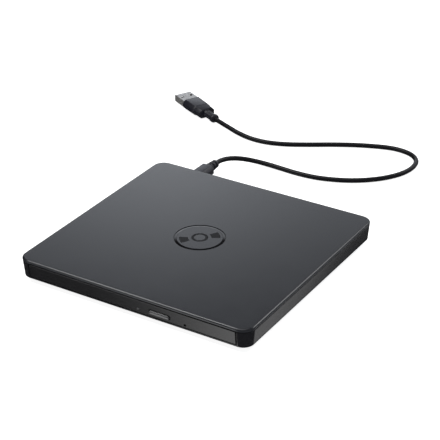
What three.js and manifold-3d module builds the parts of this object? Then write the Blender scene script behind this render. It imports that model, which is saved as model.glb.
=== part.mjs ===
// An external slim optical drive: a flat case with a slide-out disc tray and a plug-in USB cable.
// Millimetres. The front of the case, where the tray comes out, faces -Y; +X is to the right as seen
// from the front and +Z is up. The origin is on the table, under the middle of the case.
import * as THREE from "three";
import { mergeVertices } from "three/addons/utils/BufferGeometryUtils.js";
import Module from "manifold-3d";

const wasm = await Module();
wasm.setup();

// ---------------------------------------------------------------- driving dimensions

const CASE = { width: 142.9, depth: 137.3, height: 14, corner: 7 };
const FOOT = { radius: 5, x: 56, y: 52, recess: 0.4 };
const UNDERSIDE = 1; // height of the case's flat belly above the table
const BELLY_EDGE = 3.1; // where the belly's slope meets the side walls
const BELLY_INSET = 4.6;
const WALL_DRAFT = 0.9; // how far the walls lean in at the belly edge
const SEAM = 12.1; // top of the lower case
const COVER_EDGE = 12.35; // bottom of the top cover's rim
const FLOOR_TOP = 2.2;

const DRIVE = { halfWidth: 63.9, front: -63, back: 61, sheet: 0.5, bottom: 2.4, lid: 11.45 };
const MOUTH = { halfWidth: 64.5, sill: 3.9 }; // opening in the front wall for the tray
const BEZEL = { halfWidth: 63.9, bottom: 4.1, top: 11.9, front: -68.5, back: -65.9 };

const TRAY = { halfWidth: 60, front: -65.7, back: 54, bottom: 4.3, rim: 11, floor: 8.9, skin: 8 };
const TRAY_COVER = { left: -59, right: 28.5, front: -64, back: 52, bottom: 4.05, top: 4.28 };
const DISC_RECESS = 60.6; // radius of the well for a 120 mm disc
const SMALL_RECESS = 40.6; // radius of the well for an 80 mm disc
const SPINDLE_Y = -4.1;
const MECHANISM_TURN = THREE.MathUtils.degToRad(225); // the pickup travels towards the front left
const SHAFT_Z = 6.2;
const MAIN_SHAFT = { v: -17.8, radius: 1.5, from: 12.5, to: 60.8 };
const SUB_SHAFT = { v: 15, radius: 1.2, from: 12.5, to: 64 };
const SCREW = { v: 18.7, radius: 1, from: 9.8, to: 60.5 };
const LENS_PARK = 24; // distance of the parked lens from the spindle
const RUNNING_GAP = 0.3;

const BUTTON = { x: 18.9, z: 7.1, length: 12.4, height: 2.1, gap: 0.4, proud: 0.7 };
const INDICATOR = { x: 5.7, z: 6.5, radius: 0.75 };
const PINHOLE = { x: 34.1, z: 5.7, radius: 0.65 };
const CATCH = { x: 30.5, y: -57, radius: 1, top: 5.6 };
const LATCH_PIVOT = { x: 26, y: -42 };
const PLUNGER = { x: 52, z: 6.4, radius: 1.2, from: 42, to: 60.2 };

const PORT = { x: -48.5, z: 6.5, width: 7.9, height: 2.8, wall: 0.3, from: 61.4, to: 66.6 };
const RIBBON = { x: 41.5, width: 11, thick: 0.15, low: 4.05, high: 4.83, bend: -53, end: 10.5 };
const CORD = { radius: 1.5, sides: 8, steps: 76 };
const MICRO_PLUG = { start: 69.2, bodyEnd: 85.2, bootEnd: 95.4 };
const USB_A = { x: -86.3, y: 155.4, z: 3.4, turn: THREE.MathUtils.degToRad(152.3) };

// The cord's centreline, from the end of the small plug's boot to the end of the large plug's boot.
const CORD_ROUTE = [
  [-48.5, 95.7, 6.5],
  [-48.2, 100.5, 6.2],
  [-46.6, 105.6, 5.6],
  [-43.3, 110.4, 4.7],
  [-38.2, 114.3, 3.6],
  [-31.6, 116.8, 2.6],
  [-24.4, 118, 1.9],
  [-15.5, 118, 1.55],
  [-4.8, 117.4, 1.5],
  [7.2, 118.1, 1.5],
  [17.9, 121, 1.5],
  [27.8, 125.5, 1.5],
  [36.7, 131.8, 1.5],
  [44.6, 140.2, 1.5],
  [50.2, 150.2, 1.5],
  [52.2, 160.6, 1.5],
  [50.1, 170.4, 1.5],
  [43.1, 177, 1.5],
  [32.6, 179, 1.5],
  [22.2, 176.9, 1.5],
  [8.4, 171.4, 1.5],
  [-5.2, 164.1, 1.5],
  [-17.8, 156.4, 1.5],
  [-29.6, 149.9, 1.5],
  [-41.4, 145.9, 1.5],
  [-52.8, 145.3, 1.6],
  [-63.6, 147.3, 2],
  [-73, 150.2, 2.8],
  [-80.2, 152.9, 3.2],
  [-86, 155.25, 3.4],
].map((p) => new THREE.Vector3(...p));

// ---------------------------------------------------------------- materials

function paint(hex, roughness, metalness = 0) {
  return new THREE.MeshStandardMaterial({ color: hex, roughness, metalness });
}

const CHARCOAL = paint(0x3f4144, 0.45);
const BLACK_GLOSS = paint(0x1b1c1e, 0.25);
const BLACK_MATTE = paint(0x222326, 0.6);
const GREY_BUTTON = paint(0x6b6d70, 0.35);
const STEEL = paint(0xb4b7ba, 0.35, 0.9);
const DARK_STEEL = paint(0x55585c, 0.4, 0.8);
const RUBBER = paint(0x1d1d1d, 0.85);
const GREEN_BOARD = paint(0x1f5a38, 0.5);
const CHIP_BLACK = paint(0x202124, 0.5);
const WHITE_PLASTIC = paint(0xd9d9d4, 0.4);
const LENS_GLASS = paint(0x9fb4d8, 0.05);
const LABEL_PAPER = paint(0xc9cacb, 0.6);
const FLEX_WHITE = paint(0xdedbd0, 0.5);

// ---------------------------------------------------------------- shapes

function toSolid(geometry) {
  const bare = geometry.clone();
  for (const name of ["normal", "uv"]) bare.deleteAttribute(name);
  const merged = mergeVertices(bare, 1e-4);
  return new wasm.Manifold(
    new wasm.Mesh({
      numProp: 3,
      vertProperties: new Float32Array(merged.attributes.position.array),
      triVerts: new Uint32Array(merged.index.array),
    }),
  );
}

function toGeometry(solid) {
  const mesh = solid.getMesh();
  const geometry = new THREE.BufferGeometry();
  geometry.setAttribute("position", new THREE.BufferAttribute(mesh.vertProperties, 3));
  geometry.setIndex(new THREE.BufferAttribute(mesh.triVerts, 1));
  return geometry;
}

function join(...geometries) {
  return toGeometry(geometries.map(toSolid).reduce((all, next) => all.add(next)));
}

function cut(base, ...tools) {
  return toGeometry(tools.map(toSolid).reduce((left, tool) => left.subtract(tool), toSolid(base)));
}

function box(x0, x1, y0, y1, z0, z1) {
  const geometry = new THREE.BoxGeometry(x1 - x0, y1 - y0, z1 - z0);
  return geometry.translate((x0 + x1) / 2, (y0 + y1) / 2, (z0 + z1) / 2);
}

// A box that straddles x = 0's mirror: side is 1 for the right and -1 for the left.
function sideBox(side, x0, x1, y0, y1, z0, z1) {
  return side > 0 ? box(x0, x1, y0, y1, z0, z1) : box(-x1, -x0, y0, y1, z0, z1);
}

function cylinder(radius, z0, z1, x = 0, y = 0, sides = 24) {
  const geometry = new THREE.CylinderGeometry(radius, radius, z1 - z0, sides);
  return geometry.rotateX(Math.PI / 2).translate(x, y, (z0 + z1) / 2);
}

function cylinderAlongX(radius, x0, x1, y, z, sides = 16) {
  const geometry = new THREE.CylinderGeometry(radius, radius, x1 - x0, sides);
  return geometry.rotateZ(Math.PI / 2).translate((x0 + x1) / 2, y, z);
}

function cylinderAlongY(radius, y0, y1, x, z, sides = 16) {
  return new THREE.CylinderGeometry(radius, radius, y1 - y0, sides).translate(x, (y0 + y1) / 2, z);
}

// The corners of a rounded rectangle, anticlockwise, as points in its own plane.
function roundedRing(width, depth, radius, steps) {
  const points = [];
  const centres = [[1, 1], [-1, 1], [-1, -1], [1, -1]];
  centres.forEach(([sx, sy], corner) => {
    for (let i = 0; i <= steps; i++) {
      const angle = ((corner + i / steps) * Math.PI) / 2;
      points.push(
        new THREE.Vector2(
          sx * (width / 2 - radius) + radius * Math.cos(angle),
          sy * (depth / 2 - radius) + radius * Math.sin(angle),
        ),
      );
    }
  });
  return points;
}

// A closed solid through rounded rectangles stacked along Z. Levels go up: { z, w, d, r, x, y }.
function loft(levels, steps = 10) {
  const rings = levels.map(({ w, d, r }) => roundedRing(w, d, r, steps));
  const count = rings[0].length;
  const positions = [];
  levels.forEach(({ z, x = 0, y = 0 }, k) =>
    rings[k].forEach((p) => positions.push(p.x + x, p.y + y, z)),
  );
  const index = [];
  for (let k = 0; k + 1 < levels.length; k++) {
    for (let i = 0; i < count; i++) {
      const a = k * count + i;
      const b = k * count + ((i + 1) % count);
      index.push(a, b, b + count, a, b + count, a + count);
    }
  }
  const top = (levels.length - 1) * count;
  for (let i = 1; i + 1 < count; i++) {
    index.push(0, i + 1, i);
    index.push(top, top + i, top + i + 1);
  }
  const geometry = new THREE.BufferGeometry();
  geometry.setAttribute("position", new THREE.Float32BufferAttribute(positions, 3));
  geometry.setIndex(index);
  return geometry;
}

function flat(points, z0, z1) {
  const shape = new THREE.Shape(points.map(([x, y]) => new THREE.Vector2(x, y)));
  const options = { depth: z1 - z0, bevelEnabled: false };
  return new THREE.ExtrudeGeometry(shape, options).translate(0, 0, z0);
}

function roundedPlate(width, depth, radius, z0, z1, x = 0, y = 0, steps = 5) {
  const shape = new THREE.Shape(roundedRing(width, depth, radius, steps));
  const options = { depth: z1 - z0, bevelEnabled: false };
  return new THREE.ExtrudeGeometry(shape, options).translate(x, y, z0);
}

// A bar of rounded section in the XZ plane, running along +Y from y0 to y1.
function roundedBar(width, height, radius, y0, y1, x, z, steps = 4) {
  const shape = new THREE.Shape(roundedRing(width, height, radius, steps));
  const bar = new THREE.ExtrudeGeometry(shape, { depth: y1 - y0, bevelEnabled: false });
  return bar.rotateX(Math.PI / 2).translate(x, y1, z);
}

// A profile of [radius, z] pairs turned about the Z axis. It starts and ends on the axis, going up.
function turned(profile, sides = 32) {
  const points = profile.map(([r, z]) => new THREE.Vector2(r, z));
  return new THREE.LatheGeometry(points, sides).rotateX(Math.PI / 2);
}

function ring(inner, outer, z0, z1, sides = 32) {
  return cut(cylinder(outer, z0, z1, 0, 0, sides), cylinder(inner, z0 - 1, z1 + 1, 0, 0, sides));
}

const root = new THREE.Group();

function add(parent, name, geometry, material) {
  const mesh = new THREE.Mesh(geometry, material);
  mesh.name = name;
  parent.add(mesh);
  return mesh;
}

// ---------------------------------------------------------------- case

function caseLevel(z, inset) {
  const radius = Math.max(CASE.corner - inset, 1.2);
  return { z, w: CASE.width - 2 * inset, d: CASE.depth - 2 * inset, r: radius };
}

function bottomCase() {
  const shell = loft([
    caseLevel(UNDERSIDE, BELLY_INSET),
    caseLevel(BELLY_EDGE, WALL_DRAFT),
    caseLevel(SEAM, 0.1),
  ]);
  const hollow = loft([
    caseLevel(FLOOR_TOP, BELLY_INSET + 0.7),
    caseLevel(BELLY_EDGE + 0.9, 2.5),
    caseLevel(SEAM + 1, 1.8),
  ]);
  const mouth = box(-MOUTH.halfWidth, MOUTH.halfWidth, -75, DRIVE.front, MOUTH.sill, SEAM + 1);
  const socket = roundedBar(8.6, 3.6, 1.2, 60, 75, PORT.x, PORT.z);
  const labelBed = roundedPlate(62.4, 32.4, 2, 0, UNDERSIDE + 0.2, 0, 18);
  const footBeds = corners().map(([x, y]) => cylinder(FOOT.radius + 0.2, 0, UNDERSIDE + FOOT.recess, x, y));
  const screwBeds = corners().map(([x, y]) => cylinder(2.1, 0, 1.9, x, y, 16));
  const screwHoles = corners().map(([x, y]) => cylinder(1.15, 0, 5, x, y, 12));
  let body = cut(shell, hollow, mouth, socket, labelBed, ...footBeds, ...screwBeds, ...screwHoles);
  for (const side of [-1, 1]) {
    for (const y of [-44, -4, 36]) {
      const rib = [
        sideBox(side, 64.3, 66.5, y - 0.6, y + 0.6, FLOOR_TOP - 0.2, 9.5),
        sideBox(side, 66, 69.5, y - 0.6, y + 0.6, BELLY_EDGE + 0.3, 9.5),
      ];
      body = join(body, ...rib);
    }
  }
  return body;
}

// One of the two wedges of light engraved on the lid's disc emblem.
function emblemGlint(direction) {
  const { inner, outer, halfAngle } = { inner: 6.4, outer: 11.2, halfAngle: 0.3 };
  const arc = (radius, from, to) =>
    [0, 1, 2, 3, 4].map((i) => {
      const angle = direction + THREE.MathUtils.lerp(from, to, i / 4);
      return [radius * Math.cos(angle), radius * Math.sin(angle)];
    });
  const outline = [...arc(inner, halfAngle, -halfAngle), ...arc(outer, -halfAngle, halfAngle)];
  return flat(outline, CASE.height - 0.3, CASE.height + 1);
}

function topCover() {
  const shell = loft([
    caseLevel(COVER_EDGE, 0.1),
    caseLevel(COVER_EDGE + 0.15, 0),
    caseLevel(CASE.height - 0.5, 0),
    caseLevel(CASE.height - 0.15, 0.15),
    caseLevel(CASE.height, 0.5),
  ]);
  const relief = loft([caseLevel(COVER_EDGE - 1, 8), caseLevel(COVER_EDGE + 0.45, 8)]);
  const emblemRing = ring(12.6, 14.2, CASE.height - 0.3, CASE.height + 1, 48);
  const emblemHub = ring(3.2, 4.6, CASE.height - 0.3, CASE.height + 1, 24);
  const glints = [45, 225].map((angle) => emblemGlint(THREE.MathUtils.degToRad(angle)));
  let body = cut(shell, relief, emblemRing, emblemHub, ...glints);
  const rimBottom = SEAM - 1.2;
  for (const side of [-1, 1]) {
    body = join(body, sideBox(side, 68.7, 69.4, -56, 56, rimBottom, COVER_EDGE + 0.3));
  }
  return join(body, box(-56, 56, 66, 66.6, rimBottom, COVER_EDGE + 0.3));
}

function corners() {
  const found = [];
  for (const y of [-FOOT.y, FOOT.y]) for (const x of [-FOOT.x, FOOT.x]) found.push([x, y]);
  return found;
}

function addCase() {
  add(root, "bottom_case", bottomCase(), BLACK_MATTE);
  add(root, "top_cover", topCover(), CHARCOAL);
  const names = ["front_left", "front_right", "rear_left", "rear_right"];
  const footTop = UNDERSIDE + FOOT.recess;
  corners().forEach(([x, y], i) => {
    const pad = [[0, 0], [4.4, 0], [FOOT.radius, 0.6], [FOOT.radius, footTop - 0.05], [0, footTop - 0.05]];
    add(root, "foot_" + names[i], turned(pad, 24), RUBBER).position.set(x, y, 0);
    const head = [[0, 1.45], [1.8, 1.45], [1.8, 1.88], [0.9, 1.88], [0.9, 3.4], [0, 3.4]];
    add(root, "case_screw_" + names[i], turned(head, 12), STEEL).position.set(x, y, 0);
  });
  const label = roundedPlate(62, 32, 1.8, UNDERSIDE + 0.03, UNDERSIDE + 0.17, 0, 18);
  add(root, "underside_label", label, LABEL_PAPER);
}

// ---------------------------------------------------------------- drive chassis

function drivePan() {
  const { halfWidth: w, front, back, sheet, bottom } = DRIVE;
  const wallTop = DRIVE.lid - 0.1;
  const tub = cut(
    box(-w, w, front, back, bottom, wallTop),
    box(-w + sheet, w - sheet, front - 1, back - sheet, bottom + sheet, wallTop + 1),
    box(-62.5, 50, back - 2, back + 1, 3.8, 8.5),
    ...corners().map(([x, y]) => cylinder(1.15, 0, 5, x, y, 12)),
  );
  const shelf = box(RIBBON.x - 6.5, RIBBON.x + 6.5, front + 0.2, 54, bottom + 0.1, RIBBON.low - 0.2);
  return join(tub, shelf, cylinder(CATCH.radius, bottom + 0.2, CATCH.top, CATCH.x, CATCH.y, 16));
}

function driveLid() {
  const { halfWidth: w, front, back, lid } = DRIVE;
  const ribs = [-30, 30].map((x) => box(x - 6, x + 6, -48, 48, lid + 0.1, lid + 0.6));
  return join(box(-w, w, front, back, lid, lid + 0.4), ...ribs);
}

// A fixed channel, open towards the tray, that the sliding rail runs in.
function railGuide(side) {
  return join(
    sideBox(side, 62.9, 63.3, -62, 59.5, 5, 9.6),
    sideBox(side, 61.5, 63.1, -62, 59.5, 5, 5.5),
    sideBox(side, 61.5, 63.1, -62, 59.5, 9.1, 9.6),
  );
}

// The sliding rail between the fixed guide and the tray's runner, a channel of folded steel.
function slideRail(side) {
  return join(
    sideBox(side, 62.2, 62.7, -62, 40, 5.7, 8.9),
    sideBox(side, 60.9, 62.5, -62, 40, 5.7, 6.2),
    sideBox(side, 60.9, 62.5, -62, 40, 8.4, 8.9),
  );
}

function usbBoard() {
  return flat([[-61.2, 56], [49.5, 56], [49.5, 60], [-35, 60], [-35, 65.8], [-61.2, 65.8]], 4, 5);
}

function portShell() {
  const { x, z, width, height, wall, from, to } = PORT;
  return cut(
    roundedBar(width, height, 0.8, from, to, x, z),
    roundedBar(width - 2 * wall, height - 2 * wall, 0.6, from + 0.4, to + 1, x, z),
  );
}

// The ribbon's path in the YZ plane: off the rear board, forward over the pan's shelf, round and back.
function ribbonCable() {
  const { low, high, bend, end } = RIBBON;
  const middle = (low + high) / 2;
  const radius = (high - low) / 2;
  const path = [[57.6, 5.52], [55.9, 5.52], [55.3, 5.25], [55.1, 4.9], [54.9, 4.4], [54.5, 4.15], [53.6, low]];
  const turnSteps = 8;
  for (let i = 0; i <= turnSteps; i++) {
    const angle = -Math.PI / 2 - (i / turnSteps) * Math.PI;
    path.push([bend + radius * Math.cos(angle), middle + radius * Math.sin(angle)]);
  }
  path.push([end - 2, high], [end - 1, high + 0.04], [end, high + 0.1]);
  return ribbonStrip(path);
}

// A thin strip that follows [y, z] points, RIBBON.thick deep and RIBBON.width across.
function ribbonStrip(path) {
  const half = RIBBON.thick / 2;
  const normals = path.map((_, i) => {
    const [y0, z0] = path[Math.max(i - 1, 0)];
    const [y1, z1] = path[Math.min(i + 1, path.length - 1)];
    const length = Math.hypot(y1 - y0, z1 - z0);
    return [-(z1 - z0) / length, (y1 - y0) / length];
  });
  const side = (sign) =>
    path.map(([y, z], i) => [y + sign * half * normals[i][0], z + sign * half * normals[i][1]]);
  const outline = [...side(1), ...side(-1).reverse()];
  return alongX(outline, RIBBON.x - RIBBON.width / 2, RIBBON.x + RIBBON.width / 2);
}

// A [y, z] outline swept along +X.
function alongX(outline, x0, x1) {
  const shape = new THREE.Shape(outline.map(([y, z]) => new THREE.Vector2(y, z)));
  const swept = new THREE.ExtrudeGeometry(shape, { depth: x1 - x0, bevelEnabled: false });
  const basis = new THREE.Matrix4().makeBasis(
    new THREE.Vector3(0, 1, 0),
    new THREE.Vector3(0, 0, 1),
    new THREE.Vector3(1, 0, 0),
  );
  return swept.applyMatrix4(basis).translate(x0, 0, 0);
}

function addChassis() {
  add(root, "drive_pan", drivePan(), STEEL);
  add(root, "drive_lid", driveLid(), STEEL);
  for (const [name, side] of [["left", -1], ["right", 1]]) {
    add(root, "rail_guide_" + name, railGuide(side), WHITE_PLASTIC);
    add(root, "slide_rail_" + name, slideRail(side), STEEL);
  }
  add(root, "usb_board", usbBoard(), GREEN_BOARD);
  add(root, "usb_port_shell", portShell(), STEEL);
  const tongueZ = PORT.z - 0.25;
  const tongue = box(PORT.x - 1.9, PORT.x + 1.9, 62, 65.8, tongueZ - 0.25, tongueZ + 0.25);
  add(root, "usb_port_tongue", tongue, CHIP_BLACK);
  add(root, "bridge_chip", box(-60.4, -54.4, 57.5, 63.5, 5.05, 5.95), CHIP_BLACK);
  const socket = cut(box(35.2, 47.8, 56.2, 59.4, 5.05, 6.4), box(35.8, 47.2, 55, 58, 5.3, 5.75));
  add(root, "ribbon_socket", socket, WHITE_PLASTIC);
  add(root, "ribbon_cable", ribbonCable(), FLEX_WHITE);
}

// ---------------------------------------------------------------- tray

function onSpindle(geometry) {
  return geometry.rotateZ(MECHANISM_TURN).translate(0, SPINDLE_Y, 0);
}

function trayMoulding() {
  const { halfWidth: w, front, back, bottom, rim, floor, skin } = TRAY;
  const wall = 1.4;
  const block = box(-w, w, front, back, bottom, rim);
  const recess = cylinder(DISC_RECESS, floor, rim + 1, 0, SPINDLE_Y, 96);
  const smallRecess = cylinder(SMALL_RECESS, floor - 0.4, rim + 1, 0, SPINDLE_Y, 72);
  const belly = box(-w + wall, w - wall, front + wall, back - wall, bottom - 1, skin);
  const opening = onSpindle(roundedPlate(78.3, 32, 8, skin - 1, rim, 23.15, 0));
  const corner = (side, rear) =>
    sideBox(side, 46, w - wall, rear ? 40 : front + wall, rear ? back - wall : -52, skin - 1, rim - 1.2);
  const cornerPockets = [corner(-1, false), corner(1, false), corner(-1, true), corner(1, true)];
  const catchPath = box(CATCH.x - 1.6, CATCH.x + 1.6, back - 3, back + 1, bottom - 1, CATCH.top + 0.5);
  const ribbonPath = box(RIBBON.x - 6.5, RIBBON.x + 6.5, back - 3, back + 1, bottom - 1, RIBBON.high + 0.6);
  const plungerHole = cylinderAlongY(PLUNGER.radius + RUNNING_GAP, back - 3, back + 1, PLUNGER.x, PLUNGER.z);
  const buttonHole = box(BUTTON.x - 4, BUTTON.x + 4, front - 1, front + 2, 5.7, 8.5);
  const lampHole = cylinderAlongY(1.1, front - 1, front + 2, INDICATOR.x, INDICATOR.z, 12);
  const pinHole = cylinderAlongY(1, front - 1, front + 2, PINHOLE.x, PINHOLE.z, 12);
  const body = cut(
    block, recess, smallRecess, belly, opening, ...cornerPockets,
    catchPath, ribbonPath, plungerHole, buttonHole, lampHole, pinHole,
  );
  const springStop = box(PLUNGER.x - 2.5, PLUNGER.x + 2.5, 34.8, 36, bottom + 0.4, skin + 0.3);
  const runners = [-1, 1].map((side) => sideBox(side, w - 0.5, 61.9, -63.5, back - 0.5, 6.4, 8.2));
  return join(body, springStop, ...runners);
}

function bezel() {
  const { halfWidth: w, bottom, top, front, back } = BEZEL;
  const lean = 0.7; // the panel leans back with the case walls
  const profile = [[back, bottom], [back, top], [front + 0.25, top], [front, top - 0.25],
    [front + lean - 0.02, bottom + 0.25], [front + lean + 0.2, bottom]];
  const panel = alongX(profile, -w, w);
  const slot = roundedBar(
    BUTTON.length + 2 * BUTTON.gap, BUTTON.height + 2 * BUTTON.gap,
    BUTTON.height / 2 + BUTTON.gap - 0.01, front - 1, back + 1, BUTTON.x, BUTTON.z, 5,
  );
  const lamp = cylinderAlongY(INDICATOR.radius + 0.1, front - 1, back + 1, INDICATOR.x, INDICATOR.z, 16);
  const pin = cylinderAlongY(PINHOLE.radius, front - 1, back + 1, PINHOLE.x, PINHOLE.z, 16);
  return cut(panel, slot, lamp, pin);
}

function ejectButton() {
  const face = BEZEL.front + 0.4 - BUTTON.proud;
  const { x, z, length, height } = BUTTON;
  const cap = roundedBar(length, height, height / 2 - 0.01, face, -66.3, x, z, 5);
  return join(cap, box(BUTTON.x - 1.6, BUTTON.x + 1.6, -66.5, -64.1, 6.3, 7.9));
}

function switchBoard() {
  return join(
    box(2, 23.5, -64.1, -58.5, 4.5, 5.1),
    box(BUTTON.x - 3, BUTTON.x + 3, -63, -60, 5, 7.8),
    box(BUTTON.x - 1, BUTTON.x + 1, -63.5, -62.8, 6.4, 7.6),
    box(INDICATOR.x - 0.8, INDICATOR.x + 0.8, -64, -63, 5, 7.2),
  );
}

function latchLever() {
  const { x, y } = LATCH_PIVOT;
  const arm = flat([[x - 1.8, y + 2], [x + 1.6, y + 2], [x + 0.6, y - 10.5], [29.2, -54],
    [29.2, -55.6], [26.6, -55.6], [22.9, y - 12.6]], 4.4, 5.15);
  const tab = box(24.2, 25, -50, -48, 5, 7);
  return cut(join(arm, tab), cylinder(0.9, 4, 6, x, y, 12));
}

// The sheet under the tray's mechanism, slotted where the sled's bearing runs lowest.
function trayCover() {
  const { left, right, front, back, bottom, top } = TRAY_COVER;
  const outline = [[left + 6, front], [right, front], [right, back - 8], [right - 8, back],
    [left + 6, back], [left, back - 6], [left, front + 6]];
  const slotFrom = LENS_PARK - 9.5;
  const slotTo = LENS_PARK + 35;
  const slot = box(slotFrom, slotTo, MAIN_SHAFT.v - 3.2, MAIN_SHAFT.v + 3.8, bottom - 1, top + 1);
  return cut(flat(outline, bottom, top), slot.rotateZ(MECHANISM_TURN).translate(0, SPINDLE_Y, 0));
}

function addTray(tray) {
  add(tray, "tray", trayMoulding(), BLACK_MATTE);
  add(tray, "tray_cover", trayCover(), STEEL);
  add(tray, "bezel", bezel(), BLACK_GLOSS);
  const lamp = cylinderAlongY(INDICATOR.radius, BEZEL.front + 0.45, -64.4, INDICATOR.x, INDICATOR.z, 16);
  add(tray, "indicator_lens", lamp, WHITE_PLASTIC);
  add(tray, "switch_board", switchBoard(), GREEN_BOARD);
  add(tray, "eject_button", ejectButton(), GREY_BUTTON);
  add(tray, "tray_board", box(32.5, 57, -44, 34, 5.1, 5.9), GREEN_BOARD);
  add(tray, "controller_chip", box(38, 52, -28, -14, 5.95, 7.05), CHIP_BLACK);
  const coil = cut(box(10, 20, -52, -46, 4.5, 7.7), cylinderAlongX(1.1, 9, 21, -49, 6.1));
  add(tray, "latch_solenoid", coil, DARK_STEEL);
  add(tray, "solenoid_core", cylinderAlongX(0.8, 13, 23.9, -49, 6.1, 12), STEEL);
  add(tray, "latch_lever", latchLever(), WHITE_PLASTIC);
  const { x, z, radius, from, to } = PLUNGER;
  const plunger = join(
    cylinderAlongY(radius, from, to, x, z),
    cylinderAlongY(radius + 0.9, from + 0.5, from + 1.5, x, z),
  );
  add(tray, "eject_plunger", plunger, WHITE_PLASTIC);
  add(tray, "eject_spring", ejectSpring(), STEEL);
}

class SpringCurve extends THREE.Curve {
  constructor(radius, turns, y0, y1) {
    super();
    Object.assign(this, { radius, turns, y0, y1 });
  }

  getPoint(t, target = new THREE.Vector3()) {
    const angle = t * this.turns * 2 * Math.PI;
    return target.set(
      PLUNGER.x + this.radius * Math.cos(angle),
      this.y0 + t * (this.y1 - this.y0),
      PLUNGER.z + this.radius * Math.sin(angle),
    );
  }
}

function ejectSpring() {
  const section = new THREE.Shape(roundedRing(0.44, 0.44, 0.21, 1));
  const turns = 6;
  const extrudePath = new SpringCurve(1.45, turns, 36.4, 41.6);
  return new THREE.ExtrudeGeometry(section, { steps: turns * 10, extrudePath, bevelEnabled: false });
}

// ---------------------------------------------------------------- disc mechanism
// Everything here is in the mechanism's own frame: X is the way the pickup travels out from the
// spindle, Y is across it, and the spindle's axis is at the origin.

function shaftRod({ v, radius, from, to }, extra = 0) {
  return cylinderAlongX(radius + extra, from - extra, to + extra, v, SHAFT_Z);
}

function traverseFrame() {
  const outer = [[-17, -23], [58, -23], [68.6, -12.4], [70, -10], [70, 12], [59.5, 22.5], [-17, 22.5]];
  const inner = [[15.5, -21], [57, -21], [67.6, -11], [68, 10.6], [58.2, 20.4], [15.5, 20.4]];
  return cut(
    join(cut(flat(outer, 5, 7.4), flat(inner, 4, 8.5)), box(11, 15.5, 15.5, 22.5, 5, 8)),
    cylinder(14, 4, 8.5, 0, 0, 32),
    shaftRod(MAIN_SHAFT, RUNNING_GAP),
    shaftRod(SUB_SHAFT, RUNNING_GAP),
    shaftRod(SCREW, RUNNING_GAP),
    box(0.9, 10.1, SCREW.v - 2.9, SCREW.v + 4, 4, 8),
  );
}

function deckPlate() {
  return cut(
    roundedPlate(77.4, 31, 7.5, 8.3, 8.6, 23.2, 0),
    cylinder(15.2, 8, 9, 0, 0, 48),
    roundedPlate(42.9, 13, 6, 8, 9, 39.25, 0),
  );
}

function spindleMotor() {
  return join(
    roundedPlate(32, 32, 4, 4.4, 4.8),
    ring(2.2, 4, 4.6, 6.4, 24),
    ring(5.6, 9.6, 4.6, 6, 24),
  );
}

function turntable() {
  const seat = 9.6;
  const profile = [
    [0, 5], [1.9, 5], [1.9, 6.8], [11.2, 6.8], [11.2, 5.4], [12.2, 5.4], [12.2, 7.6], [13.4, 8],
    [14.4, 8.6], [14.4, 9.2], [11.2, 9.2], [11.2, seat], [8.6, seat], [7.4, seat + 0.2], [7.4, 10.6],
    [6.8, 11.1], [0, 11.1],
  ];
  const slots = clawAngles().map((angle) => box(3.6, 8.2, -1.3, 1.3, seat + 0.3, 12).rotateZ(angle));
  return cut(turned(profile, 36), ...slots);
}

function clawAngles() {
  return [0, 1, 2].map((i) => (i * 2 * Math.PI) / 3);
}

function clampClaw() {
  const nose = [[4.8, -1], [7.5, -1], [7.85, -0.4], [7.85, 0.4], [7.5, 1], [4.8, 1]];
  return flat(nose, 9.95, 10.75);
}

function pickupSled() {
  const u = LENS_PARK;
  const body = join(
    flat([[u - 8, -15], [u + 4, -15], [u + 5, -11.5], [u + 8.6, -10], [u + 8.6, 10],
      [u + 5, 11.5], [u + 4, 13.4], [u - 8, 13.4]], 4.5, 7.9),
    box(u - 8, u - 0.8, -20.2, -14.8, 4.1, 7.9),
    box(u - 3, u + 1, 13, 17, 4.4, 7.9),
  );
  const actuatorWell = box(u - 5.4, u + 5.4, -7.4, 7.4, 5.4, 9);
  const sleeve = cylinderAlongX(MAIN_SHAFT.radius + 0.15, 0, 80, MAIN_SHAFT.v, SHAFT_Z);
  const slot = box(u - 9, u + 9, SUB_SHAFT.v - 1.4, SUB_SHAFT.v + 3, SHAFT_Z - 1.35, SHAFT_Z + 1.35);
  return cut(body, actuatorWell, sleeve, slot);
}

function lensHolder() {
  const u = LENS_PARK;
  return cut(
    roundedPlate(8, 10.4, 1.2, 6.1, 7.95, u, 0),
    cylinder(2.5, 7.15, 9, u, 0, 24),
    cylinder(1.7, 5, 9, u, 0, 24),
  );
}

function objectiveLens() {
  const profile = [[0, 7.22], [2.3, 7.22], [2.3, 7.75], [1.7, 8.2], [0.9, 8.45], [0, 8.53]];
  return turned(profile, 24).translate(LENS_PARK, 0, 0);
}

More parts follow.
